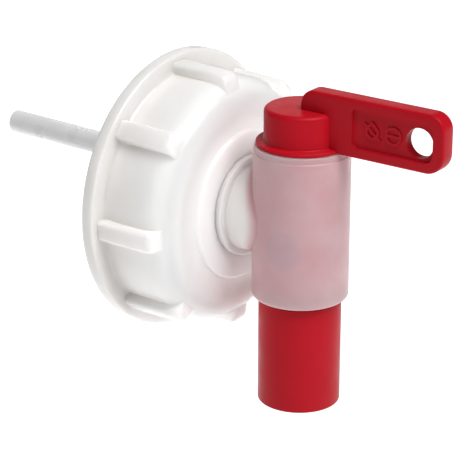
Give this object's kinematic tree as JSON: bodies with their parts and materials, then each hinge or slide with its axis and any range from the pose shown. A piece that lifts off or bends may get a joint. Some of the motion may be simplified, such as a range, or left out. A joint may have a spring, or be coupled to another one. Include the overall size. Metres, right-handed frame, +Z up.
{
  "type": "self-venting drum tap",
  "caption": "Self-venting drum tap: a ribbed screw cap, a swivelling translucent tap body, a red turning valve barrel with lever and spout, and a rear vent tube.",
  "frame": {"origin": "centre of the cap's open rim, on the cap's axis", "axes": "+Y along the cap's axis into the container, +Z up with the spout hanging down, the tap and its lever standing out towards -Y"},
  "size_m": [0.0746, 0.1409, 0.0872],
  "materials": {
    "natural_cap": "satin natural polyethylene, slightly translucent",
    "gasket_foam": "matt closed-cell foam",
    "clear_body": "frosted translucent polyethylene",
    "seal_silicone": "satin silicone",
    "vent_tube": "milky translucent polyethylene",
    "red_plastic": "satin moulded polyethylene"
  },
  "bodies": {
    "cap": {"screw_cap": "natural_cap", "neck_gasket": "gasket_foam"},
    "tap": {"tap_body": "clear_body", "stub_oring": "seal_silicone", "lock_ring": "natural_cap", "vent_tube": "vent_tube"},
    "valve": {"valve_barrel": "red_plastic", "lever_handle": "red_plastic", "upper_oring": "seal_silicone", "lower_oring": "seal_silicone", "port_seal": "seal_silicone", "vent_seal": "seal_silicone", "barrel_clip": "red_plastic"}
  },
  "joints": [
    {"name": "tap_swivel", "type": "hinge", "parent": "cap", "child": "tap", "pos_m": [0, 0, 0], "axis": [0, 1, 0], "continuous": true},
    {"name": "valve_turn", "type": "hinge", "parent": "tap", "child": "valve", "pos_m": [0, -0.0419, 0], "axis": [0, 0, 1], "range_deg": [-92.9, 0]}
  ]
}
